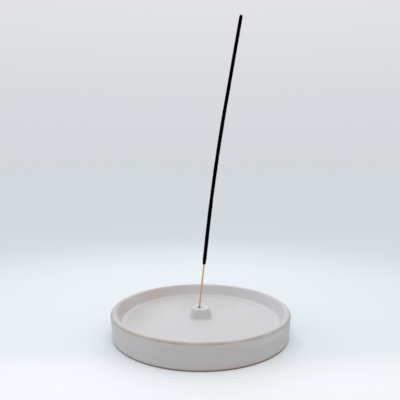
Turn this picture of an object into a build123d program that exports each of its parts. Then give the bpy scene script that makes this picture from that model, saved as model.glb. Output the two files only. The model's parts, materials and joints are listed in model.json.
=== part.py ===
"""Incense stick holder: a glazed stoneware dish, a clay block luted to its floor, and an incense stick.

Millimetres. The origin is the centre of the foot on the table, +Z is up, and the stick leans towards +X.
"""
from build123d import *
import os
from math import cos, degrees, radians, sin

os.makedirs("parts", exist_ok=True)

# Dish: the wall, seen in section from the axis outwards
rim_radius = 67.6  # the glazed outer wall, carried up to the level of the lip
wall_flare = 1.2  # the upper wall leans out by this much
wall_bend_level = 4.5  # below this the outer wall is upright
wall_bend_round = 45.0
lip_outer_round = 2.1
lip_flat = 0.9
lip_inner_round = 1.6
inner_wall_run = 3.8  # the inner wall slopes in by this much down to the floor
cavity_depth = 7.9  # glazed lip down to the glazed floor
floor_thickness = 7.3
recess_depth = 3.2  # hollow under the floor, inside the foot ring
recess_round = 1.5
foot_ring_width = 7.5
foot_bevel = 0.2  # undercut at the outer edge of the foot

# Glaze
glaze_thickness = 0.35
glaze_foot_gap = 0.8  # bare clay above the foot bevel
lip_line_width = 1.0  # bare line round the shoulder of the lip
cove_round = 0.9  # glaze pooled in the corner of the floor

# Block that holds the stick: square at its base, its corners cut back towards the top
boss_setback = 4.9  # behind the middle of the dish
boss_base_flat = 11.4
boss_base_corner = 2.2
boss_top_flat = 6.0
boss_top_corner = 3.5
boss_base_shift = 0.4  # the block is cut by hand and leans a little to the left
boss_top_shift = -0.3
boss_height = 6.9  # glazed top above the glazed floor
boss_edge_round = 0.5
slip_thickness = 0.5

# Stick hole
stick_lean = 5.93  # degrees towards +X
mouth_shift = -0.9  # hole mouth, left of the block's middle
hole_clearance = 0.45  # all round the bamboo
hole_bite = 1.6  # depth of the hole in the dish floor
mouth_bare_ring = 0.6  # clay left bare round the hole
seat_gap = 0.1  # under the foot of the stick

# Stick, measured along its own line from the foot up
bamboo_radius = 0.65
bamboo_chamfer = 0.15
bare_run = 42.4
coated_straight_run = 21.2
bow_run = 102.0
bow_angle = 3.73  # degrees, further towards +X
upper_run = 63.9
coat_radius = 1.3
coat_foot_round = 0.45
coat_tip_round = 0.9
coat_tip_cover = 2.0  # paste beyond the end of the bamboo

# Heights and radii that follow from the sizes above
floor_level = recess_depth + floor_thickness
dish_height = floor_level + cavity_depth
boss_top_level = floor_level + boss_height
clay_floor = floor_level - glaze_thickness
clay_lip = dish_height - glaze_thickness
clay_rim_radius = rim_radius - glaze_thickness
clay_foot_radius = clay_rim_radius - wall_flare
lip_width = lip_outer_round + lip_flat + lip_inner_round
clay_lip_inner_radius = rim_radius - lip_width + glaze_thickness
clay_floor_radius = clay_lip_inner_radius - inner_wall_run
foot_outer_radius = clay_foot_radius - foot_bevel
foot_inner_radius = foot_outer_radius - foot_ring_width
lip_middle_radius = rim_radius - lip_width / 2
glaze_foot_level = foot_bevel + glaze_foot_gap
above_all = dish_height + boss_height
boss_seat_level = clay_floor + slip_thickness
clay_boss_top = boss_top_level - glaze_thickness
hole_radius = bamboo_radius + hole_clearance
lean_x = sin(radians(stick_lean))
lean_z = cos(radians(stick_lean))
hole_bottom_level = clay_floor - hole_bite
hole_depth = (boss_top_level - hole_bottom_level) / lean_z

# The line of the stick hole, and the plane square to it at the mouth and at the bottom
mouth = Vector(mouth_shift, boss_setback, boss_top_level)
stick_direction = Vector(lean_x, 0, lean_z)
hole_bottom = mouth - stick_direction * hole_depth
hole_bottom_plane = Plane(hole_bottom, x_dir=(lean_z, 0, -lean_x), z_dir=stick_direction)
stick_foot = hole_bottom + stick_direction * seat_gap
stick_foot_plane = Plane(stick_foot, x_dir=(lean_z, 0, -lean_x), z_dir=stick_direction)


def block_outline(flat, corner, shift):
    """Square with cut corners, drawn on the sketch plane round the block's middle."""
    half = flat / 2 + corner
    side = flat / 2
    with BuildLine(mode=Mode.PRIVATE) as outline:
        Polyline(
            (shift - side, boss_setback - half),
            (shift + side, boss_setback - half),
            (shift + half, boss_setback - side),
            (shift + half, boss_setback + side),
            (shift + side, boss_setback + half),
            (shift - side, boss_setback + half),
            (shift - half, boss_setback + side),
            (shift - half, boss_setback - side),
            close=True,
        )
    return outline.line


# Section of the bare dish, from the axis over the floor, the lip and the foot, and back under the floor
with BuildSketch(Plane.XZ) as clay_section:
    with BuildLine():
        FilletPolyline(
            (0, clay_floor),
            (clay_floor_radius, clay_floor),
            (clay_lip_inner_radius, clay_lip),
            (clay_rim_radius, clay_lip),
            (clay_foot_radius, wall_bend_level),
            (clay_foot_radius, foot_bevel),
            (foot_outer_radius, 0),
            (foot_inner_radius, 0),
            (foot_inner_radius - recess_depth, recess_depth),
            (0, recess_depth),
            radius=(
                0,
                0,
                lip_inner_round - glaze_thickness,
                lip_outer_round - glaze_thickness,
                wall_bend_round,
                0,
                0,
                0,
                recess_round,
                0,
            ),
            close=True,
        )
    make_face()

# Section of the glaze: the bare section grown by the glaze, kept where the dish is glazed
with BuildSketch(Plane.XZ) as glaze_section:
    add(clay_section)
    offset(amount=glaze_thickness, kind=Kind.INTERSECTION)
    floor_corner = glaze_section.vertices().sort_by_distance((clay_floor_radius, floor_level))[0]
    fillet(floor_corner, radius=cove_round)
    add(clay_section, mode=Mode.SUBTRACT)
    with BuildSketch(mode=Mode.INTERSECT):
        with BuildLine():
            Polyline(
                (0, clay_floor),
                (lip_middle_radius, clay_floor),
                (lip_middle_radius, glaze_foot_level),
                (rim_radius + lip_width, glaze_foot_level),
                (rim_radius + lip_width, above_all),
                (0, above_all),
                close=True,
            )
        make_face()
    # Bare line on the shoulder of the lip, as a wedge from the middle of its round
    shoulder = Vector(rim_radius - lip_outer_round, dish_height - lip_outer_round)
    half_wedge = degrees(lip_line_width / lip_outer_round) / 2
    wedge_reach = 2 * lip_outer_round
    with BuildSketch(mode=Mode.SUBTRACT):
        with BuildLine():
            Polyline(
                shoulder,
                shoulder + Vector(wedge_reach, 0).rotate(Axis.Z, 45 - half_wedge),
                shoulder + Vector(wedge_reach, 0).rotate(Axis.Z, 45 + half_wedge),
                close=True,
            )
        make_face()
glaze_faces = glaze_section.sketch.faces().sort_by(SortBy.AREA)

# The block as it stands after glazing: it is cut out of the floor glaze and then hollowed for the clay
with BuildPart() as glazed_block:
    with BuildSketch(Plane.XY.offset(clay_floor)):
        make_face(block_outline(boss_base_flat, boss_base_corner, boss_base_shift).edges())
    with BuildSketch(Plane.XY.offset(boss_top_level)):
        make_face(block_outline(boss_top_flat, boss_top_corner, boss_top_shift).edges())
    loft()
    sloped_edges = glazed_block.edges().filter_by(Axis.Z, tolerance=45)
    top_edges = glazed_block.faces().sort_by(Axis.Z)[-1].edges()
    fillet(sloped_edges + top_edges, radius=boss_edge_round)

# The clay of the block: the same form, smaller by the glaze on its sides and its top
with BuildPart() as clay_block:
    with BuildSketch(Plane.XY.offset(clay_floor)):
        make_face(block_outline(boss_base_flat, boss_base_corner, boss_base_shift).edges())
        offset(amount=-glaze_thickness, kind=Kind.INTERSECTION)
    with BuildSketch(Plane.XY.offset(clay_boss_top)):
        make_face(block_outline(boss_top_flat, boss_top_corner, boss_top_shift).edges())
        offset(amount=-glaze_thickness, kind=Kind.INTERSECTION)
    loft()

# The stick hole, long enough to leave the block at its mouth
with BuildPart() as hole_tool:
    with BuildSketch(hole_bottom_plane):
        Circle(hole_radius)
    extrude(amount=hole_depth + boss_height)

with BuildPart() as dish_body:
    add(clay_section.sketch)
    revolve(axis=Axis.Z)
    add(hole_tool.part, mode=Mode.SUBTRACT)
dish_body.part.label = "dish_body"
export_step(dish_body.part, "parts/dish_body.step")

with BuildPart() as outer_glaze:
    add(glaze_faces[0])
    revolve(axis=Axis.Z)
outer_glaze.part.label = "outer_glaze"
export_step(outer_glaze.part, "parts/outer_glaze.step")

with BuildPart() as inner_glaze:
    add(glaze_faces[-1])
    revolve(axis=Axis.Z)
    add(glazed_block.part, mode=Mode.SUBTRACT)
inner_glaze.part.label = "inner_glaze"
export_step(inner_glaze.part, "parts/inner_glaze.step")

with BuildPart() as slip_joint:
    add(clay_block.part)
    split(bisect_by=Plane.XY.offset(boss_seat_level), keep=Keep.BOTTOM)
    add(hole_tool.part, mode=Mode.SUBTRACT)
slip_joint.part.label = "slip_joint"
export_step(slip_joint.part, "parts/slip_joint.step")

with BuildPart() as stick_boss:
    add(clay_block.part)
    split(bisect_by=Plane.XY.offset(boss_seat_level), keep=Keep.TOP)
    add(hole_tool.part, mode=Mode.SUBTRACT)
stick_boss.part.label = "stick_boss"
export_step(stick_boss.part, "parts/stick_boss.step")

with BuildPart() as boss_glaze:
    add(glazed_block.part)
    add(clay_block.part, mode=Mode.SUBTRACT)
    with BuildSketch(hole_bottom_plane):
        Circle(hole_radius + mouth_bare_ring)
    extrude(amount=hole_depth + boss_height, mode=Mode.SUBTRACT)
boss_glaze.part.label = "boss_glaze"
export_step(boss_glaze.part, "parts/boss_glaze.step")


def stick_line(start_run, end_cut):
    """Line of the stick in its own plane: straight, then bowed, then straight to the tip."""
    bow_radius = bow_run / radians(bow_angle)
    bow_start = (0, bare_run + coated_straight_run)
    with BuildLine(
        Plane(stick_foot, x_dir=(lean_z, 0, -lean_x), z_dir=(0, -1, 0)), mode=Mode.PRIVATE
    ) as line:
        lower = Line((0, start_run), bow_start)
        bow = JernArc(lower @ 1, lower % 1, bow_radius, -bow_angle)
        Line(bow @ 1, bow @ 1 + (bow % 1) * (upper_run - end_cut))
    return line.line


with BuildPart() as bamboo_core:
    with BuildSketch(stick_foot_plane):
        Circle(bamboo_radius)
    sweep(path=stick_line(0, coat_tip_cover))
    foot_edge = bamboo_core.edges().filter_by(GeomType.CIRCLE).sort_by(Axis.Z)[0]
    chamfer(foot_edge, length=bamboo_chamfer)
bamboo_core.part.label = "bamboo_core"
export_step(bamboo_core.part, "parts/bamboo_core.step")

with BuildPart() as incense_coat:
    with BuildSketch(stick_foot_plane.offset(bare_run)):
        Circle(coat_radius)
    sweep(path=stick_line(bare_run, 0))
    coat_ends = incense_coat.edges().filter_by(GeomType.CIRCLE).sort_by(Axis.Z)
    fillet(coat_ends[0], radius=coat_foot_round)
    fillet(coat_ends[-1], radius=coat_tip_round)
    add(bamboo_core.part, mode=Mode.SUBTRACT)
incense_coat.part.label = "incense_coat"
export_step(incense_coat.part, "parts/incense_coat.step")
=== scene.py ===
import json
import math

import bmesh
import bpy
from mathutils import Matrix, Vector


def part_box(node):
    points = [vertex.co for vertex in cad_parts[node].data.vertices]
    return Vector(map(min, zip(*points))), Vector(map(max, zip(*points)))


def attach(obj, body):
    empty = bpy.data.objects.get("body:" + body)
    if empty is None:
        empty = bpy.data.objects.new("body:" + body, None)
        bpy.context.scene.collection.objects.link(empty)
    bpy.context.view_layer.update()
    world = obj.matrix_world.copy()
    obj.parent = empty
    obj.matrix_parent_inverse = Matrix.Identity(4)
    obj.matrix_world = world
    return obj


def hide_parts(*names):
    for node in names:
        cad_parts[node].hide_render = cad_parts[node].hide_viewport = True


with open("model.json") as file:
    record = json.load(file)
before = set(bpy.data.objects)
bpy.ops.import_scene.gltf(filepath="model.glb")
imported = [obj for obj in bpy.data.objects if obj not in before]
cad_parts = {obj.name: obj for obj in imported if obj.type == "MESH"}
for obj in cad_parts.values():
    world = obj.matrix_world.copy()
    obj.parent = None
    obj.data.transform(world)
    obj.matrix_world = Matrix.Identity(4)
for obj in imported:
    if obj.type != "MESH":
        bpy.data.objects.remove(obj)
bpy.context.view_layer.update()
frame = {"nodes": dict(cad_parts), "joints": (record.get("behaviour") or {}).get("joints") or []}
nodes = frame["nodes"]
scene = bpy.context.scene
mm = 0.001
weld = 1e-6
sharpAngle = 40  # edges that turn by more than this stay crisp
print("frame loaded:", ", ".join(sorted(nodes)))

# Levels and places that the pieces share, read from the frame
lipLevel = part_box("inner_glaze")[1].z
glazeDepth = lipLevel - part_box("dish_body")[1].z
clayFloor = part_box("inner_glaze")[0].z
floorLevel = clayFloor + glazeDepth
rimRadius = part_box("outer_glaze")[1].x
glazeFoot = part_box("outer_glaze")[0].z
blockLow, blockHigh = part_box("boss_glaze")
blockCentre = (blockLow + blockHigh) / 2
blockLevel = blockHigh.z


# Modelling helpers

def beginPoint(name):  # a lone vertex at the origin, in edit mode
    bpy.ops.object.select_all(action="DESELECT")
    bpy.ops.mesh.primitive_plane_add(size=mm)
    piece = bpy.context.object
    piece.name = name
    bpy.ops.object.mode_set(mode="EDIT")
    bpy.ops.mesh.select_all(action="SELECT")
    bpy.ops.mesh.merge(type="CENTER")
    return piece


def straightRun(start, end, spacing):  # points after start, up to end
    count = max(1, round(math.dist(start, end) / spacing))
    return [tuple(a + (b - a) * i / count for a, b in zip(start, end)) for i in range(1, count + 1)]


def arcRun(centre, radii, angles, steps):  # degrees from outwards; the radius may change
    run = []
    for i in range(steps + 1):
        share = i / steps
        radius = radii[0] + (radii[1] - radii[0]) * share
        angle = math.radians(angles[0] + (angles[1] - angles[0]) * share)
        run.append((centre[0] + radius * math.cos(angle), centre[1] + radius * math.sin(angle)))
    return run


def spinSection(name, run, turns):  # a vertex pulled along (radius, height), then spun
    piece = beginPoint(name)
    bpy.ops.transform.translate(value=(run[0][0], 0, run[0][1]))
    for here, there in zip(run, run[1:] + run[:1]):
        step = (there[0] - here[0], 0, there[1] - here[1])
        bpy.ops.mesh.extrude_vertices_move(TRANSFORM_OT_translate={"value": step})
    bpy.ops.mesh.select_all(action="SELECT")
    bpy.ops.mesh.remove_doubles(threshold=weld)
    bpy.ops.mesh.spin(steps=turns, angle=math.tau, center=(0, 0, 0), axis=(0, 0, 1))
    bpy.ops.mesh.select_all(action="SELECT")
    bpy.ops.mesh.remove_doubles(threshold=weld)
    bpy.ops.mesh.normals_make_consistent(inside=False)
    bpy.ops.object.mode_set(mode="OBJECT")
    return piece


def selectVerts(piece, rule):  # in edit mode: only the vertices that fit the rule
    mesh = bmesh.from_edit_mesh(piece.data)
    for vert in mesh.verts:
        vert.select = rule(vert)
    mesh.select_flush_mode()
    bmesh.update_edit_mesh(piece.data)


def deselectAll(mesh):
    for part in [*mesh.verts, *mesh.edges, *mesh.faces]:
        part.select = False


def selectEdges(piece, rule):
    mesh = bmesh.from_edit_mesh(piece.data)
    deselectAll(mesh)
    for edge in mesh.edges:
        if rule(edge):
            edge.select_set(True)
    bmesh.update_edit_mesh(piece.data)


def selectTopFace(piece):  # the highest of the faces that point up
    mesh = bmesh.from_edit_mesh(piece.data)
    deselectAll(mesh)
    highest = max(mesh.faces, key=lambda face: face.calc_center_median().z + face.normal.z)
    highest.select_set(True)
    bmesh.update_edit_mesh(piece.data)


def pickOnly(piece):
    bpy.ops.object.select_all(action="DESELECT")
    piece.select_set(True)
    bpy.context.view_layer.objects.active = piece


def applyAll(piece):
    bpy.context.view_layer.objects.active = piece
    for modifier in list(piece.modifiers):
        bpy.ops.object.modifier_apply(modifier=modifier.name)


def uneven(piece, label, size, depth, stretch=(1, 1, 1), turn=(0, 0, 0)):
    # soft bumps of that size and depth in mm, drawn out by stretch along a gauge's own axes
    gauge = bpy.data.objects.new(label + "Gauge", None)
    gauge.scale = stretch
    gauge.rotation_euler = turn
    scene.collection.objects.link(gauge)
    bpy.context.view_layer.update()
    cloud = bpy.data.textures.new(label, "CLOUDS")
    cloud.noise_scale = size * mm
    push = piece.modifiers.new(label, "DISPLACE")
    push.texture = cloud
    push.texture_coords = "OBJECT"
    push.texture_coords_object = gauge
    push.strength = depth * mm
    applyAll(piece)
    bpy.data.objects.remove(gauge)


def mark(piece, label, amountAt):  # an amount at each vertex, for the material to read
    amount = piece.data.attributes.new(label, "FLOAT", "POINT")
    amount.data.foreach_set("value", [amountAt(v.co) for v in piece.data.vertices])


def smoothStep(value, low, high):
    share = min(1, max(0, (value - low) / (high - low)))
    return share * share * (3 - 2 * share)


def finishPiece(piece, body, node, material):
    pickOnly(piece)
    bpy.ops.object.shade_smooth_by_angle(angle=math.radians(sharpAngle))
    piece.data.materials.clear()
    piece.data.materials.append(material)
    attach(piece, body)
    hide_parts(node)
    print(piece.name, "made:", len(piece.data.polygons), "faces")


# Material helpers

def tint(red, green, blue):  # an sRGB colour from 0 to 255, made linear
    shades = [c / 255 for c in (red, green, blue)]
    return [c / 12.92 if c <= 0.04045 else ((c + 0.055) / 1.055) ** 2.4 for c in shades] + [1.0]


def addNode(tree, kind, sockets=None, **settings):
    node = tree.nodes.new("ShaderNode" + kind)
    for key, value in settings.items():
        setattr(node, key, value)
    for socket, value in (sockets or {}).items():
        if isinstance(value, bpy.types.NodeSocket):
            tree.links.new(value, node.inputs[socket])
        else:
            node.inputs[socket].default_value = value
    return node


def sums(tree, operation, first, second):
    return addNode(tree, "Math", {0: first, 1: second}, operation=operation).outputs[0]


def fade(tree, value, low, high, start=0.0, end=1.0):
    sockets = {"Value": value, "From Min": low, "From Max": high, "To Min": start, "To Max": end}
    return addNode(tree, "MapRange", sockets, interpolation_type="SMOOTHSTEP").outputs[0]


def layer(tree, mask, under, over):  # 6 and 7 are the Mix node's colours, and result 2 is its colour
    return addNode(tree, "Mix", {0: mask, 6: under, 7: over}, data_type="RGBA").outputs[2]


def beginGroup(name, entries, results):
    group = bpy.data.node_groups.new(name, "ShaderNodeTree")
    for label, kind in entries:
        group.interface.new_socket(label, in_out="INPUT", socket_type="NodeSocket" + kind)
    for label, kind in results:
        group.interface.new_socket(label, in_out="OUTPUT", socket_type="NodeSocket" + kind)
    entry = group.nodes.new("NodeGroupInput")
    return group, entry


def endGroup(group, results):
    leave = group.nodes.new("NodeGroupOutput")
    for label, socket in results.items():
        group.links.new(socket, leave.inputs[label])
    return group


def mottleGroup():  # soft patches of a size given in mm
    entries = [("Place", "Vector"), ("Size", "Float"), ("Detail", "Float")]
    group, entry = beginGroup("mottle", entries, [("Patch", "Float")])
    perMetre = sums(group, "DIVIDE", 1 / mm, entry.outputs["Size"])
    sockets = {"Vector": entry.outputs["Place"], "Scale": perMetre, "Detail": entry.outputs["Detail"]}
    cloud = addNode(group, "TexNoise", sockets)
    bare, full = 0.3, 0.7  # noise where a patch begins, and where it is whole
    return endGroup(group, {"Patch": fade(group, cloud.outputs["Fac"], bare, full)})


def speckGroup():  # scattered specks, one in a share of the cells that the spacing gives
    entries = [("Place", "Vector"), ("Spacing", "Float"), ("Share", "Float"), ("Radius", "Float")]
    group, entry = beginGroup("kilnSpecks", entries, [("Speck", "Float")])
    perMetre = sums(group, "DIVIDE", 1 / mm, entry.outputs["Spacing"])
    cells = addNode(group, "TexVoronoi", {"Vector": entry.outputs["Place"], "Scale": perMetre})
    luck = addNode(group, "SeparateColor", {0: cells.outputs["Color"]})
    chosen = sums(group, "LESS_THAN", luck.outputs[0], entry.outputs["Share"])
    reach = sums(group, "DIVIDE", entry.outputs["Radius"], entry.outputs["Spacing"])
    small, large = 0.4, 1.3  # shares of the radius
    reach = sums(group, "MULTIPLY", reach, fade(group, luck.outputs[1], 0.0, 1.0, small, large))
    away = sums(group, "DIVIDE", cells.outputs["Distance"], reach)
    edge, core = 1.0, 0.6  # of the speck's own radius
    dot = fade(group, away, edge, core)
    return endGroup(group, {"Speck": sums(group, "MULTIPLY", dot, chosen)})


def callGroup(tree, group, **sockets):
    return addNode(tree, "Group", sockets, node_tree=group).outputs[0]


mottle = mottleGroup()
kilnSpecks = speckGroup()


def beginMaterial(name):
    material = bpy.data.materials.new(name)
    material.use_nodes = True
    tree = material.node_tree
    shader = tree.nodes["Principled BSDF"]
    place = addNode(tree, "TexCoord").outputs["Object"]
    return material, tree, shader, place


def bump(tree, height, depth):  # depth in mm for a height of 1
    return addNode(tree, "Bump", {"Height": height, "Strength": 1.0, "Distance": depth * mm}).outputs[0]


# Satin off-white glaze

satinGlaze = {
    "white": tint(213, 212, 214),
    "shade": tint(210, 209, 210),
    "patch": {"Size": 24.0, "Detail": 3.0},
    "band": {"Size": 30.0, "Detail": 2.0},
    "bandSquash": 9,  # bands lie level
    # painted highlights and painted light over shadows
    "pooled": tint(227, 226, 227),
    "flushed": tint(211, 200, 196),
    "thinTan": tint(182, 164, 153),
    "thinGrey": tint(176, 175, 171),
    "ragged": {"Size": 11.0, "Detail": 4.0},
    "raggedShare": (0.8, 1.15),
    "speck": tint(150, 132, 116),
    "specks": {"Spacing": 4.0, "Share": 0.22, "Radius": 0.22},
    "speckShare": 0.5,
    "peel": {"Size": 1.6, "Detail": 2.0},
    "peelShare": 0.2,  # of a pinhole's depth
    "pinholes": {"Spacing": 5.5, "Share": 0.3, "Radius": 0.2},
    "relief": 0.05,
    "roughness": (0.56, 0.64),
    "shine": 0.35,
}


def satinGlazeMaterial():
    look = satinGlaze
    material, tree, shader, place = beginMaterial("satinGlaze")
    patch = callGroup(tree, mottle, Place=place, **look["patch"])
    flow = addNode(tree, "Mapping", {"Vector": place, "Scale": (1, 1, look["bandSquash"])}).outputs[0]
    band = callGroup(tree, mottle, Place=flow, **look["band"])
    colour = layer(tree, sums(tree, "MULTIPLY", patch, band), look["white"], look["shade"])
    # painted highlights and painted light over shadows, as a whiter glaze
    pool = addNode(tree, "Attribute", attribute_name="pool").outputs["Fac"]
    colour = layer(tree, pool, colour, look["pooled"])
    # thin glaze lets the clay through, browner in some places than in others; the same darkening also
    # serves as painted shade
    thinAndShade = addNode(tree, "Attribute", attribute_name="thinAndShade").outputs["Fac"]
    ragged = callGroup(tree, mottle, Place=flow, **look["ragged"])
    ragged = fade(tree, ragged, 0.0, 1.0, *look["raggedShare"])
    warm = addNode(tree, "Attribute", attribute_name="warm").outputs["Fac"]
    warm = sums(tree, "MULTIPLY", warm, ragged)
    colour = layer(tree, warm, colour, look["flushed"])
    body = layer(tree, warm, look["thinGrey"], look["thinTan"])
    colour = layer(tree, sums(tree, "MULTIPLY", thinAndShade, ragged), colour, body)
    speck = callGroup(tree, kilnSpecks, Place=place, **look["specks"])
    colour = layer(tree, sums(tree, "MULTIPLY", speck, look["speckShare"]), colour, look["speck"])
    tree.links.new(colour, shader.inputs["Base Color"])
    rough = fade(tree, patch, 0.0, 1.0, *look["roughness"])
    tree.links.new(rough, shader.inputs["Roughness"])
    shader.inputs["Specular IOR Level"].default_value = look["shine"]
    peel = callGroup(tree, mottle, Place=place, **look["peel"])
    pinhole = callGroup(tree, kilnSpecks, Place=place, **look["pinholes"])
    height = sums(tree, "SUBTRACT", sums(tree, "MULTIPLY", peel, look["peelShare"]), pinhole)
    tree.links.new(bump(tree, height, look["relief"]), shader.inputs["Normal"])
    return material


# Bare stoneware, where the glaze is wiped off

bareClay = {
    "buff": tint(204, 192, 180),
    "tan": tint(184, 170, 156),
    "patch": {"Size": 4.0, "Detail": 6.0},
    "paintedFootShade": tint(132, 120, 113),  # painted shade along the foot, where it meets the table
    "footShadeRise": (0.6, 1.8),
    "grog": tint(140, 124, 110),
    "grogGrains": {"Spacing": 0.9, "Share": 0.3, "Radius": 0.16},
    "grain": {"Size": 0.5, "Detail": 3.0},
    "relief": 0.06,
    "roughness": 0.85,
}


def bareClayMaterial():
    look = bareClay
    material, tree, shader, place = beginMaterial("bareClay")
    patch = callGroup(tree, mottle, Place=place, **look["patch"])
    colour = layer(tree, patch, look["buff"], look["tan"])
    height = addNode(tree, "SeparateXYZ", {0: place}).outputs["Z"]
    # painted shade, darker towards the foot
    low, high = (level * mm for level in look["footShadeRise"])
    colour = layer(tree, fade(tree, height, low, high, 1.0, 0.0), colour, look["paintedFootShade"])
    grog = callGroup(tree, kilnSpecks, Place=place, **look["grogGrains"])
    colour = layer(tree, grog, colour, look["grog"])
    tree.links.new(colour, shader.inputs["Base Color"])
    shader.inputs["Roughness"].default_value = look["roughness"]
    grain = callGroup(tree, mottle, Place=place, **look["grain"])
    tree.links.new(bump(tree, grain, look["relief"]), shader.inputs["Normal"])
    return material


# Split bamboo

bambooFibre = {
    "straw": tint(238, 201, 131),
    "brown": tint(203, 159, 94),
    "streak": {"Size": 0.22, "Detail": 3.0},
    "streakSquash": 0.02,  # streaks run up the splint
    "paintedShade": tint(166, 146, 114),  # painted shade on the end that stands in the hole
    "shadeRise": (0.2, 2.0),  # and how far it fades above the block
    "relief": 0.03,
    "roughness": 0.6,
    "shine": 0.25,
}


def bambooMaterial():
    look = bambooFibre
    material, tree, shader, place = beginMaterial("splitBamboo")
    along = addNode(tree, "Mapping", {"Vector": place, "Scale": (1, 1, look["streakSquash"])}).outputs[0]
    streak = callGroup(tree, mottle, Place=along, **look["streak"])
    colour = layer(tree, streak, look["straw"], look["brown"])
    height = addNode(tree, "SeparateXYZ", {0: place}).outputs["Z"]
    # painted shade, darker towards the hole
    low, high = (blockLevel + rise * mm for rise in look["shadeRise"])
    colour = layer(tree, fade(tree, height, low, high, 1.0, 0.0), colour, look["paintedShade"])
    tree.links.new(colour, shader.inputs["Base Color"])
    shader.inputs["Roughness"].default_value = look["roughness"]
    shader.inputs["Specular IOR Level"].default_value = look["shine"]
    tree.links.new(bump(tree, streak, look["relief"]), shader.inputs["Normal"])
    return material


# Rolled incense paste

incensePaste = {
    "black": tint(1, 1, 2),
    "ash": tint(6, 6, 6),
    "patch": {"Size": 0.6, "Detail": 4.0},
    "relief": 0.08,
    "roughness": 0.95,
    "shine": 0.0,
}


def incenseMaterial():
    look = incensePaste
    material, tree, shader, place = beginMaterial("incensePaste")
    patch = callGroup(tree, mottle, Place=place, **look["patch"])
    colour = layer(tree, patch, look["black"], look["ash"])
    tree.links.new(colour, shader.inputs["Base Color"])
    shader.inputs["Roughness"].default_value = look["roughness"]
    shader.inputs["Specular IOR Level"].default_value = look["shine"]
    tree.links.new(bump(tree, patch, look["relief"]), shader.inputs["Normal"])
    return material


glaze = satinGlazeMaterial()
clay = bareClayMaterial()
bamboo = bambooMaterial()
incense = incenseMaterial()
print("materials made:", ", ".join(m.name for m in (glaze, clay, bamboo, incense)))


# The dish's glaze: two coats that meet on the shoulder of the lip, thin enough there to show the clay

dishCoats = {
    "turns": 360,
    "rowSpacing": 1.2,
    "lipRound": 2.1,
    "innerLipRound": 1.6,
    "lipWidth": 4.31,  # over its two sharp corners
    "meetAngle": 45,  # up the round of the lip
    "innerWallRun": 3.8,
    "coveRound": 0.9,
    "wallLean": 5.06,  # degrees, outside, above the bend
    "bendLevel": 2.51,  # below this the outside is upright
    "bendRound": 44.65,
    "footRadius": 66.4,
    "steps": {"outerShoulder": 10, "innerShoulder": 8, "lip": 8, "cove": 6, "bend": 5, "bead": 5},
    "underClay": 0.15,  # how deep the hidden side lies in the clay
    "floorOpening": 6.0,  # bare floor under the block
    "openingReach": 20.0,
    "throwingLines": (26, 0.10),
    "lineStretch": (1, 1, 0.08),
    "handPressure": (30, 0.12),
}
shoulderRound = dishCoats["lipRound"] * mm
shoulder = (rimRadius - shoulderRound, lipLevel - shoulderRound)
buriedRound = shoulderRound - glazeDepth - dishCoats["underClay"] * mm


def handThrown(coat):  # the same for both coats, so that they still meet
    uneven(coat, "throwingLines", *dishCoats["throwingLines"], stretch=dishCoats["lineStretch"])
    uneven(coat, "handPressure", *dishCoats["handPressure"])


def outerRun():  # down the outside from the lip to a bead at the foot, and back up in the clay
    size = dishCoats
    steps = size["steps"]
    meet = size["meetAngle"]
    lean = size["wallLean"]
    spacing = size["rowSpacing"] * mm
    fine = spacing / 2
    sparse = 5 * spacing
    deep = glazeDepth + size["underClay"] * mm
    bead = glazeDepth
    footRadius = size["footRadius"] * mm
    bendRound = size["bendRound"] * mm
    bendCentre = (footRadius + bendRound, size["bendLevel"] * mm)
    bend = arcRun(bendCentre, (bendRound, bendRound), (180 - lean, 180), steps["bend"])
    run = arcRun(shoulder, (buriedRound, shoulderRound), (meet, meet), 1)
    run += arcRun(shoulder, (shoulderRound, shoulderRound), (meet, -lean), steps["outerShoulder"])[1:]
    run += straightRun(run[-1], bend[0], fine)
    run += bend[1:]
    run += straightRun(run[-1], (footRadius, glazeFoot + bead), fine)
    run += arcRun((footRadius - bead, glazeFoot + bead), (bead, bead), (0, -90), steps["bead"])[1:]
    run += straightRun(run[-1], (footRadius - deep, glazeFoot + bead), spacing)
    run += straightRun(run[-1], (bend[0][0] - deep, bend[0][1]), spacing)
    run += straightRun(run[-1], (rimRadius - deep, shoulder[1]), sparse)
    return run


def innerRun():  # over the floor, up the wall, over the lip, and back in the clay
    size = dishCoats
    steps = size["steps"]
    meet = size["meetAngle"]
    spacing = size["rowSpacing"] * mm
    fine = spacing / 2
    sparse = 5 * spacing
    deep = size["underClay"] * mm
    lipRound = size["innerLipRound"] * mm
    cove = size["coveRound"] * mm
    opening = size["floorOpening"] * mm
    wallLean = math.degrees(math.atan2(lipLevel - floorLevel, size["innerWallRun"] * mm))
    tangent = math.tan(math.radians(wallLean / 2))
    lipCorner = rimRadius - size["lipWidth"] * mm
    lipStart = lipCorner + lipRound * tangent
    floorCorner = lipCorner - size["innerWallRun"] * mm
    coveCentre = (floorCorner - cove * tangent, floorLevel + cove)
    lipCentre = (lipStart, lipLevel - lipRound)
    lipArc = arcRun(lipCentre, (lipRound, lipRound), (90 + wallLean, 90), steps["lip"])
    run = [(opening, floorLevel)]
    run += straightRun(run[-1], (coveCentre[0], floorLevel), spacing)
    run += arcRun(coveCentre, (cove, cove), (-90, wallLean - 90), steps["cove"])[1:]
    run += straightRun(run[-1], lipArc[0], fine)
    run += lipArc[1:]
    run += straightRun(run[-1], (shoulder[0], lipLevel), fine)
    run += arcRun(shoulder, (shoulderRound, shoulderRound), (90, meet), steps["innerShoulder"])[1:]
    run += arcRun(shoulder, (shoulderRound, buriedRound), (meet, meet), 1)[1:]
    run += straightRun(run[-1], (shoulder[0], lipLevel - glazeDepth - deep), spacing)
    run += straightRun(run[-1], (lipStart, lipLevel - glazeDepth - deep), spacing)
    run += straightRun(run[-1], (floorCorner + 2 * deep, clayFloor - deep), sparse)
    run += straightRun(run[-1], (opening, clayFloor - deep), 2 * sparse)
    return run


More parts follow.
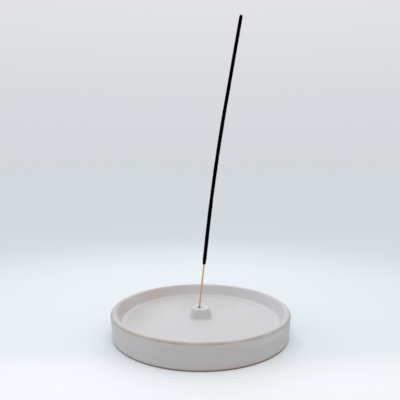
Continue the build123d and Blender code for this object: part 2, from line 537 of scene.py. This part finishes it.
def centreOpening(coat):  # the opening in the floor moves under the block
    opening = dishCoats["floorOpening"] * mm
    pickOnly(coat)
    bpy.ops.object.mode_set(mode="EDIT")
    bpy.ops.mesh.select_mode(type="VERT")
    selectVerts(coat, lambda v: math.hypot(v.co.x, v.co.y) < opening + weld)
    bpy.ops.transform.translate(value=(blockCentre.x, blockCentre.y, 0), use_proportional_edit=True,
                                proportional_edit_falloff="SMOOTH",
                                proportional_size=dishCoats["openingReach"] * mm)
    bpy.ops.object.mode_set(mode="OBJECT")


# Where that glaze is thin or warm, and where shade and light are painted on it: a spot is a place seen
# from above, its reach and its most

dishGlaze = {
    "frontLip": ((-4, -66), (35, 65)),  # place, and how far from it the front of the lip fades
    "lineAngle": (37, 58),  # up the round of the lip, where the thinnest line runs: at the sides, in front
    "lineThin": (0.78, 0.95),
    "lipLine": (0.6, 1.7),  # how far from there the line ends
    "lipBlush": (0.8, 5.0),  # and its blush
    "blushThin": 0.6,
    "wallHaste": 2.0,  # the blush ends sooner down the wall
    "lipSpots": [((-4, -66), 60, 1.0), ((-48, -46), 45, 0.55), ((-65, -10), 40, 0.55)],  # warm
    "wallWarmth": 0.2,
    "outerThinAndShade": 0.26,  # the coat is thinner on the walls than on the floor, which also paints shade on the walls
    "innerThinAndShade": 0.19,
    "wallStart": 2.0,  # above the floor
    "footThin": 0.7,
    "footLine": 1.8,
    "footSpots": [((22, -62), 75, 0.75)],  # warm
    "footRise": (0.8, 6.5),
    "insideSpots": [((-62, 8), 40, 0.45), ((-40, 46), 42, 1.0)],  # warm
    "floorWarmth": 0.25,
    # painted shade near the left and back walls
    "shadeSpots": [((-62, 8), 40, 0.43), ((-42, 44), 40, 0.26), ((0, 44), 50, 0.24)],
    "wallHighlights": [((46, -48), 32, 0.8)],  # a painted highlight under the lip,
    "wallHighlightDrop": (2.0, 3.0, 4.5, 6.5),
    "cornerHighlightRing": (57.7, 2.6),  # a painted highlight in the corner of the floor, most at the back,
    "ringShare": (0.4, 1.0),
    "ringBack": (0, 40),
    "floorLightSpots": [((0, -7), 9, 0.6)],  # and painted light over the block's shadow in front of it
}


def spotted(place, spots):  # most in the middle of each spot
    flat = (place.x / mm, place.y / mm)
    return max(most * (1 - smoothStep(math.dist(flat, spot), 0, reach)) for spot, reach, most in spots)


def lipShare(place, label):  # a pair of values, mixed from the sides to the front
    spot, reach = dishGlaze["frontLip"]
    sides, front = dishGlaze[label]
    return front + (sides - front) * smoothStep(math.dist((place.x / mm, place.y / mm), spot), *reach)


def nearLine(place, label, haste=1):  # 1 on the thinnest line round the lip, falling away on both sides
    angle = lipShare(place, "lineAngle")
    edge = arcRun(shoulder, (shoulderRound, shoulderRound), (angle, angle), 1)[0]
    away = math.dist(edge, (math.hypot(place.x, place.y), place.z)) / mm
    if place.z < edge[1]:
        away *= haste
    return 1 - smoothStep(away, *dishGlaze[label])


def lipWarmth(place):
    return spotted(place, dishGlaze["lipSpots"]) * nearLine(place, "lipBlush", dishGlaze["wallHaste"])


def lipThinness(place):
    line = lipShare(place, "lineThin") * nearLine(place, "lipLine")
    return max(line, dishGlaze["blushThin"] * lipWarmth(place))


# thin glaze, and painted shade on the walls
def outerThinnessAndShade(place):
    footHigh = glazeFoot + dishGlaze["footLine"] * mm
    foot = dishGlaze["footThin"] * (1 - smoothStep(place.z, glazeFoot, footHigh))
    return max(lipThinness(place), foot, dishGlaze["outerThinAndShade"])


def outerWarmth(place):
    wall = dishGlaze["wallWarmth"] * spotted(place, dishGlaze["lipSpots"])
    low, high = (level * mm for level in dishGlaze["footRise"])
    foot = spotted(place, dishGlaze["footSpots"]) * (1 - smoothStep(place.z, low, high))
    return max(lipWarmth(place), wall, foot)


# painted highlight under the lip
def outerPaintedHighlights(place):
    begin, full, end, gone = (lipLevel - drop * mm for drop in dishGlaze["wallHighlightDrop"])
    inBand = smoothStep(-place.z, -begin, -full) * smoothStep(place.z, gone, end)
    return spotted(place, dishGlaze["wallHighlights"]) * inBand


def upWall(place):
    return smoothStep(place.z, floorLevel, floorLevel + dishGlaze["wallStart"] * mm)


def inRing(place):
    ring, reach = (length * mm for length in dishGlaze["cornerHighlightRing"])
    return 1 - smoothStep(abs(math.hypot(place.x, place.y) - ring), 0, reach)


# thin glaze, and painted shade on the walls and near them
def innerThinnessAndShade(place):
    inside = max(dishGlaze["innerThinAndShade"] * upWall(place), spotted(place, dishGlaze["shadeSpots"]))
    return max(lipThinness(place), inside * (1 - inRing(place)))


def innerWarmth(place):
    onFloor = dishGlaze["floorWarmth"]
    inside = spotted(place, dishGlaze["insideSpots"]) * (onFloor + (1 - onFloor) * upWall(place))
    return max(lipWarmth(place), inside)


# painted highlight in the floor's corner, painted light in front of the block
def innerPaintedLight(place):
    front, back = dishGlaze["ringShare"]
    share = front + (back - front) * smoothStep(place.y / mm, *dishGlaze["ringBack"])
    return max(inRing(place) * share, spotted(place, dishGlaze["floorLightSpots"]))


def outerCoat():
    coat = spinSection("outerGlazeCoat", outerRun(), dishCoats["turns"])
    handThrown(coat)
    mark(coat, "thinAndShade", outerThinnessAndShade)
    mark(coat, "warm", outerWarmth)
    mark(coat, "pool", outerPaintedHighlights)
    finishPiece(coat, "dish", "outer_glaze", glaze)


def innerCoat():
    coat = spinSection("innerGlazeCoat", innerRun(), dishCoats["turns"])
    centreOpening(coat)
    handThrown(coat)
    mark(coat, "thinAndShade", innerThinnessAndShade)
    mark(coat, "warm", innerWarmth)
    mark(coat, "pool", innerPaintedLight)
    finishPiece(coat, "dish", "inner_glaze", glaze)


outerCoat()
innerCoat()


# The block's glaze: it runs down to the floor and stays clear of the stick hole

blockCoat = {
    "baseCorner": 2.2,
    "topHalf": 6.5,
    "topFlat": 5.2,
    "topShift": -0.7,  # from the middle of the base
    "edgeRound": 0.5,
    "edgeSteps": 3,
    "poolRise": 0.8,  # where the pooled glaze at the foot begins
    "pool": [(-0.3, 0.05), (-0.2, 0.1), (-0.15, 0.15), (-0.1, 0.2), (-0.5, 0.3)],  # steps down and out
    "mouthShift": -0.9,
    "mouthRadius": 1.45,
    "mouthInsets": (0.9, 1.4, 0.6),  # rings of faces round the opening
    "mouthDrop": 0.25,
    "mouthDraws": (0.97, 0.9),  # its edge closes in as it turns down
    "softLevels": 3,
    "handCut": (5.0, 0.25),
    "glazeSag": (1.8, 0.08),
    "skin": 0.45,
    "mouthBlush": (1.6, 4.2),  # warm thin glaze round the hole
    "mouthThin": 0.22,
    "mouthWarmth": 0.75,
    # painted shade on the block's sides
    "sideShade": 0.19,
    "cornerShade": [((5.6, -0.5), 4.5, 0.55), ((-7.5, 0.0), 4.0, 0.3)],  # spots of painted shade, as on the dish
    "topDrop": (0.7, 0.2),  # how far below the top the sides give way to it
    "topHighlight": ((1.0, 5.0), 0.7),  # a painted highlight across the top, from the hole to the right,
    "footPaintedLight": (0.1, 0.6),  # and painted light over the shade at the foot
}
baseLevel = floorLevel + blockCoat["poolRise"] * mm
blockTop = Vector((blockCentre.x + blockCoat["topShift"] * mm, blockCentre.y, blockLevel))
mouth = Vector((blockCoat["mouthShift"] * mm, blockCentre.y, blockLevel))


def cutBlock():  # smaller at the top, with longer cut corners there, and left in edit mode
    size = blockCoat
    corner = size["baseCorner"] * mm
    baseHalf = (blockHigh.x - blockLow.x) / 2
    topHalf = size["topHalf"] * mm
    shrink = topHalf / baseHalf
    flatShare = size["topFlat"] * mm / 2 / (topHalf - corner * shrink)
    bpy.ops.object.select_all(action="DESELECT")
    bpy.ops.mesh.primitive_plane_add(size=2 * baseHalf, location=(blockCentre.x, blockCentre.y, baseLevel))
    coat = bpy.context.object
    coat.name = "blockGlazeCoat"
    bpy.ops.object.transform_apply(location=True, rotation=True, scale=True)
    bpy.ops.object.mode_set(mode="EDIT")
    bpy.ops.mesh.select_all(action="SELECT")
    bpy.ops.mesh.bevel(offset=corner, affect="VERTICES", segments=1)
    bpy.ops.mesh.select_all(action="SELECT")
    lift = (size["topShift"] * mm, 0, blockLevel - baseLevel)
    bpy.ops.mesh.extrude_region_move(TRANSFORM_OT_translate={"value": lift})
    bpy.ops.transform.resize(value=(shrink, shrink, 1), center_override=blockTop)
    topLow = blockLevel - weld
    outermost = topHalf - 10 * weld
    for axis, scale in ((0, (1, flatShare, 1)), (1, (flatShare, 1, 1))):
        selectVerts(coat, lambda v: v.co.z > topLow and abs(v.co[axis] - blockTop[axis]) > outermost)
        bpy.ops.transform.resize(value=scale, center_override=blockTop)
    selectEdges(coat, lambda e: max(v.co.z for v in e.verts) > topLow)
    bpy.ops.mesh.bevel(offset=size["edgeRound"] * mm, affect="EDGES", segments=size["edgeSteps"])
    return coat


def poolFoot(coat):  # glaze pooled at the foot, from an open ring that is made level first
    selectVerts(coat, lambda v: v.co.z < baseLevel + blockCoat["edgeRound"] * mm)
    bpy.ops.transform.resize(value=(1, 1, 0), center_override=(blockCentre.x, blockCentre.y, baseLevel))
    bpy.ops.mesh.delete(type="ONLY_FACE")
    for drop, grow in blockCoat["pool"]:
        lowest = min(v.co.z for v in bmesh.from_edit_mesh(coat.data).verts)
        selectEdges(coat, lambda e: max(v.co.z for v in e.verts) < lowest + weld)
        bpy.ops.mesh.extrude_edges_move(TRANSFORM_OT_translate={"value": (0, 0, drop * mm)})
        half = max(v.co.x for v in bmesh.from_edit_mesh(coat.data).verts) - blockCentre.x
        spread = (half + grow * mm) / half
        bpy.ops.transform.resize(value=(spread, spread, 1), center_override=blockCentre)


def openMouth(coat):  # an opening round the stick hole
    size = blockCoat
    rim, collar, edge = (inset * mm for inset in size["mouthInsets"])
    selectTopFace(coat)
    bpy.ops.mesh.inset(thickness=rim)
    bpy.ops.mesh.inset(thickness=collar)
    bpy.ops.transform.tosphere(value=1)
    bpy.ops.transform.translate(value=(mouth.x - blockTop.x, mouth.y - blockTop.y, 0))
    bpy.ops.mesh.inset(thickness=edge)
    bpy.ops.transform.tosphere(value=1)
    ring = [v.co - mouth for v in bmesh.from_edit_mesh(coat.data).verts if v.select]
    roundness = 3 / (2 + math.cos(math.tau / len(ring)))  # subdividing draws the ring in by this much
    share = size["mouthRadius"] * mm * roundness / max(p.length for p in ring)
    bpy.ops.transform.resize(value=(share, share, 1), center_override=mouth)
    drop = (0, 0, -size["mouthDrop"] * mm)
    for draw in size["mouthDraws"]:
        bpy.ops.mesh.extrude_region_move(TRANSFORM_OT_translate={"value": drop})
        bpy.ops.transform.resize(value=(draw, draw, 1), center_override=mouth)
    bpy.ops.mesh.delete(type="ONLY_FACE")


def nearMouth(place):
    return 1 - smoothStep((place - mouth).length / mm, *blockCoat["mouthBlush"])


def onTop(place):
    low, high = (blockLevel - drop * mm for drop in blockCoat["topDrop"])
    return smoothStep(place.z, low, high)


# thin glaze round the hole, and painted shade on the sides
def blockThinnessAndShade(place):
    side = max(blockCoat["sideShade"], spotted(place, blockCoat["cornerShade"])) * (1 - onTop(place))
    return max(blockCoat["mouthThin"] * nearMouth(place), side)


def blockWarmth(place):
    return blockCoat["mouthWarmth"] * nearMouth(place)


# painted highlight on the top, painted light at the foot
def blockPaintedLight(place):
    across, most = blockCoat["topHighlight"]
    top = most * onTop(place) * smoothStep(place.x / mm, *across)
    low, high = (floorLevel + rise * mm for rise in blockCoat["footPaintedLight"])
    return max(top, 1 - smoothStep(place.z, low, high))


def blockGlazeCoat():
    size = blockCoat
    coat = cutBlock()
    poolFoot(coat)
    openMouth(coat)
    bpy.ops.mesh.select_all(action="SELECT")
    bpy.ops.mesh.normals_make_consistent(inside=False)
    bpy.ops.object.mode_set(mode="OBJECT")
    soften = coat.modifiers.new("soften", "SUBSURF")
    soften.levels = size["softLevels"]
    soften.render_levels = size["softLevels"]
    applyAll(coat)
    for label in ("handCut", "glazeSag"):
        uneven(coat, label, *size[label])
    skin = coat.modifiers.new("skin", "SOLIDIFY")
    skin.thickness = size["skin"] * mm
    applyAll(coat)
    mark(coat, "thinAndShade", blockThinnessAndShade)
    mark(coat, "warm", blockWarmth)
    mark(coat, "pool", blockPaintedLight)
    finishPiece(coat, "dish", "boss_glaze", glaze)


blockGlazeCoat()


# The stick: straight in the hole, bowed through the middle, straight to the tip

stickLine = {
    "footPlace": -1.809,
    "footLevel": 8.649,
    "straightRun": 63.6,  # bare bamboo and the first of the paste
    "bowRun": 102.0,
    "bowAngle": 3.73,
    "upperRun": 63.9,
}
slideAxis = Vector(frame["joints"][0]["axis"])
stickLean = math.atan2(slideAxis.x, slideAxis.z)


def heading(turn):  # along the stick, where it has bowed by that turn
    return Vector((math.sin(stickLean + turn), 0, math.cos(stickLean + turn)))


def stickCurve(name, startRun, endCut):  # a curve along the stick, from startRun above its foot
    size = stickLine
    bow = math.radians(size["bowAngle"])
    bowRadius = size["bowRun"] / bow
    lower = heading(0)
    upper = heading(bow)
    foot = Vector((size["footPlace"], blockCentre.y / mm, size["footLevel"]))
    bowStart = foot + lower * size["straightRun"]
    bowEnd = bowStart + heading(bow / 2) * 2 * bowRadius * math.sin(bow / 2)
    start = foot + lower * startRun
    end = bowEnd + upper * (size["upperRun"] - endCut)
    bowHandle = 4 / 3 * math.tan(bow / 4) * bowRadius  # which makes the bow round
    lowHandle = (bowStart - start).length / 3
    highHandle = (end - bowEnd).length / 3
    knots = [
        (start, lower, lowHandle, lowHandle),
        (bowStart, lower, lowHandle, bowHandle),
        (bowEnd, upper, bowHandle, highHandle),
        (end, upper, highHandle, highHandle),
    ]
    bpy.ops.object.select_all(action="DESELECT")
    bpy.ops.curve.primitive_bezier_curve_add()
    line = bpy.context.object
    line.name = name
    bpy.ops.object.mode_set(mode="EDIT")
    bpy.ops.curve.select_all(action="SELECT")
    bpy.ops.curve.subdivide(number_cuts=len(knots) - 2)
    bpy.ops.object.mode_set(mode="OBJECT")
    for point, (place, way, before, after) in zip(line.data.splines[0].bezier_points, knots):
        point.handle_left_type = point.handle_right_type = "FREE"
        point.co = place * mm
        point.handle_left = (place - way * before) * mm
        point.handle_right = (place + way * after) * mm
    line.data.dimensions = "3D"
    line.data.use_fill_caps = True
    return line


bambooSplint = {
    "radius": 0.64,
    "quarterSteps": 10,
    "lengthSteps": 90,
    "tipCut": 2.0,  # paste beyond the end of the splint
    "ridge": (0.5, 0.16),
    "fibre": (0.16, 0.06),
    "fibreStretch": (1, 1, 60),
}


def splitBamboo():
    size = bambooSplint
    line = stickCurve("bambooSplint", 0, size["tipCut"])
    line.data.bevel_depth = size["radius"] * mm
    line.data.bevel_resolution = size["quarterSteps"]
    line.data.resolution_u = size["lengthSteps"]
    bpy.ops.object.convert(target="MESH")
    splint = bpy.context.object
    bpy.ops.object.mode_set(mode="EDIT")
    bpy.ops.mesh.select_all(action="SELECT")
    bpy.ops.mesh.remove_doubles(threshold=weld)
    bpy.ops.mesh.normals_make_consistent(inside=False)
    bpy.ops.object.mode_set(mode="OBJECT")
    for label in ("ridge", "fibre"):
        uneven(splint, label, *size[label], stretch=size["fibreStretch"], turn=(0, stickLean, 0))
    finishPiece(splint, "stick", "bamboo_core", bamboo)


rolledPaste = {
    "radius": 1.38,
    "quarterSteps": 8,
    "lengthSteps": 60,
    "taper": (1.09, 1.06, 1.00, 0.96),  # from the foot to the tip
    "footRun": 42.7,  # bare bamboo below the paste
    "footPinch": (0.8, 4.5),  # drawn in to this share, from this far
    "tipPinch": (0.62, 1.4),
    "voxel": 0.26,
    "softenings": 4,
    "roll": (9, 0.22),
    "grain": (0.9, 0.16),
    "dust": (0.5, 0.10),
}


def pinchEnd(piece, place, outwards, share, reach):  # draws an end in, less and less up to the reach
    bpy.ops.object.mode_set(mode="EDIT")
    bpy.ops.mesh.select_mode(type="VERT")
    selectVerts(piece, lambda v: (v.co - place).dot(outwards) > -weld)
    bpy.ops.transform.resize(value=(share, share, 1), center_override=place, use_proportional_edit=True,
                             proportional_edit_falloff="SMOOTH", proportional_size=reach * mm)
    bpy.ops.object.mode_set(mode="OBJECT")


def incenseCoat():
    size = rolledPaste
    line = stickCurve("rolledIncense", size["footRun"], 0)
    line.data.bevel_depth = size["radius"] * mm
    line.data.bevel_resolution = size["quarterSteps"]
    line.data.resolution_u = size["lengthSteps"]
    knots = line.data.splines[0].bezier_points
    for knot, share in zip(knots, size["taper"]):
        knot.radius = share
    foot = (knots[0].co.copy(), (knots[0].co - knots[0].handle_right).normalized())
    tip = (knots[-1].co.copy(), (knots[-1].co - knots[-1].handle_left).normalized())
    bpy.ops.object.convert(target="MESH")
    paste = bpy.context.object
    pinchEnd(paste, *foot, *size["footPinch"])
    pinchEnd(paste, *tip, *size["tipPinch"])
    knead = paste.modifiers.new("knead", "REMESH")
    knead.mode = "VOXEL"
    knead.voxel_size = size["voxel"] * mm
    soften = paste.modifiers.new("soften", "SMOOTH")
    soften.iterations = size["softenings"]
    applyAll(paste)
    for label in ("roll", "grain", "dust"):
        uneven(paste, label, *size[label])
    finishPiece(paste, "stick", "incense_coat", incense)


splitBamboo()
incenseCoat()


# Bare clay under the glaze

for name in ("dish_body", "stick_boss", "slip_joint"):
    nodes[name].data.materials.clear()
    nodes[name].data.materials.append(clay)
print("bare clay set")


# Pale table, studio light and camera

table = {
    "radius": 0.45,
    "sides": 96,
    "fade": (0.10, 0.42),  # it clears away towards its edge
    "roughness": 0.9,
    "colour": tint(227, 228, 231),
    "seenColour": tint(226, 235, 240),  # brighter for the camera alone
    "frontColour": tint(228, 231, 236),  # and nearer the camera
    "frontReach": (-0.01, -0.09),
    "lift": (0.07, 0.19),  # its own light, for the camera alone, at the back and in front
}


def directRays(tree):  # 1 where the camera sees the surface, straight or in a reflection
    ray = addNode(tree, "LightPath")
    mirrored = sums(tree, "MAXIMUM", ray.outputs["Is Glossy Ray"], ray.outputs["Is Transmission Ray"])
    return sums(tree, "MAXIMUM", ray.outputs["Is Camera Ray"], mirrored)


def paleTable():
    bpy.ops.object.select_all(action="DESELECT")
    bpy.ops.mesh.primitive_circle_add(vertices=table["sides"], radius=table["radius"], fill_type="NGON")
    top = bpy.context.object
    top.name = "paleTable"
    material, tree, shader, place = beginMaterial("paleTable")
    seen = directRays(tree)
    depth = addNode(tree, "SeparateXYZ", {0: place}).outputs["Y"]
    near = fade(tree, depth, *table["frontReach"])
    bright = layer(tree, near, table["seenColour"], table["frontColour"])
    tree.links.new(layer(tree, seen, table["colour"], bright), shader.inputs["Base Color"])
    shader.inputs["Roughness"].default_value = table["roughness"]
    lift = sums(tree, "MULTIPLY", seen, fade(tree, near, 0.0, 1.0, *table["lift"]))
    glow = addNode(tree, "Emission", {"Strength": lift})
    lifted = addNode(tree, "AddShader", {0: shader.outputs[0], 1: glow.outputs[0]})
    away = addNode(tree, "VectorMath", {0: place}, operation="LENGTH").outputs["Value"]
    clear = addNode(tree, "BsdfTransparent").outputs[0]
    cleared = fade(tree, away, *table["fade"])
    mixed = addNode(tree, "MixShader", {0: cleared, 1: lifted.outputs[0], 2: clear})
    tree.links.new(mixed.outputs[0], tree.nodes["Material Output"].inputs["Surface"])
    top.data.materials.append(material)


studio = {
    "skyLow": -0.35,  # sine of the elevation at the ramp's ends
    "skyHigh": 0.35,
    "sky": [
        (-0.25, tint(222, 230, 236)),
        (-0.20, tint(215, 223, 228)),
        (-0.14, tint(211, 218, 223)),
        (-0.02, tint(211, 216, 220)),
        (0.12, tint(216, 218, 223)),
        (0.31, tint(226, 227, 231)),
    ],
    "fill": 0.61,
    "fillColour": (1, 1, 1, 1),
}


def studioWorld():
    world = bpy.data.worlds.new("paleStudio")
    scene.world = world
    world.use_nodes = True
    tree = world.node_tree
    tree.nodes.clear()
    look = addNode(tree, "TexCoord").outputs["Generated"]
    height = addNode(tree, "SeparateXYZ", {0: look}).outputs["Z"]
    low, high = studio["skyLow"], studio["skyHigh"]
    share = addNode(tree, "MapRange", {"Value": height, "From Min": low, "From Max": high}).outputs[0]
    ramp = addNode(tree, "ValToRGB", {0: share})
    stops = ramp.color_ramp.elements
    while len(stops) < len(studio["sky"]):
        stops.new(1.0)
    for stop, (level, colour) in zip(stops, studio["sky"]):
        stop.position = (level - low) / (high - low)
        stop.color = colour
    seen = addNode(tree, "Background", {"Color": ramp.outputs[0], "Strength": 1.0}).outputs[0]
    fill = {"Color": studio["fillColour"], "Strength": studio["fill"]}
    lit = addNode(tree, "Background", fill).outputs[0]
    mixed = addNode(tree, "MixShader", {0: directRays(tree), 1: lit, 2: seen}).outputs[0]
    addNode(tree, "OutputWorld", {"Surface": mixed})


softboxes = {
    "overhead": {"place": (0.0, 0.05, 0.80), "size": 0.7, "power": 0.73},
    "behind": {"place": (0.0, 0.75, 0.50), "size": 0.6, "power": 1.50},
    "highInFront": {"place": (0.0, -0.50, 0.75), "size": 0.6, "power": 0.75},
    "highRight": {"place": (0.65, 0.05, 0.70), "size": 0.5, "power": 0.55},
    "lowLeft": {"place": (-0.85, 0.05, 0.22), "size": 0.4, "power": 0.85, "colour": (0.90, 0.97, 1.10)},
    "backLeft": {"place": (-0.60, 0.55, 0.30), "size": 0.5, "power": 0.65, "colour": (0.90, 0.97, 1.10)},
}


def softbox(name, place, size, power, colour=(1, 1, 1)):
    lamp = bpy.data.lights.new(name, "AREA")
    lamp.size = size
    lamp.energy = power
    lamp.color = colour
    holder = bpy.data.objects.new(name, lamp)
    holder.location = place
    holder.rotation_euler = (-Vector(place)).to_track_quat("-Z", "Y").to_euler()
    scene.collection.objects.link(holder)


photoCamera = {
    "lens": 40.5,
    "sensor": 36,
    "place": (0, -0.33378, 0.13231),
    "pitch": 84.65,
    "roll": -0.062,
    "yaw": 0.103,
}


def addCamera():
    view = bpy.data.cameras.new("photoCamera")
    view.lens = photoCamera["lens"]
    view.sensor_width = photoCamera["sensor"]
    holder = bpy.data.objects.new("photoCamera", view)
    holder.location = photoCamera["place"]
    turns = (photoCamera["pitch"], photoCamera["roll"], photoCamera["yaw"])
    holder.rotation_euler = [math.radians(angle) for angle in turns]
    scene.collection.objects.link(holder)
    scene.camera = holder


paleTable()
studioWorld()
for name, box in softboxes.items():
    softbox(name, **box)
addCamera()
scene.view_settings.view_transform = "Standard"
print("stage, lights and camera set")
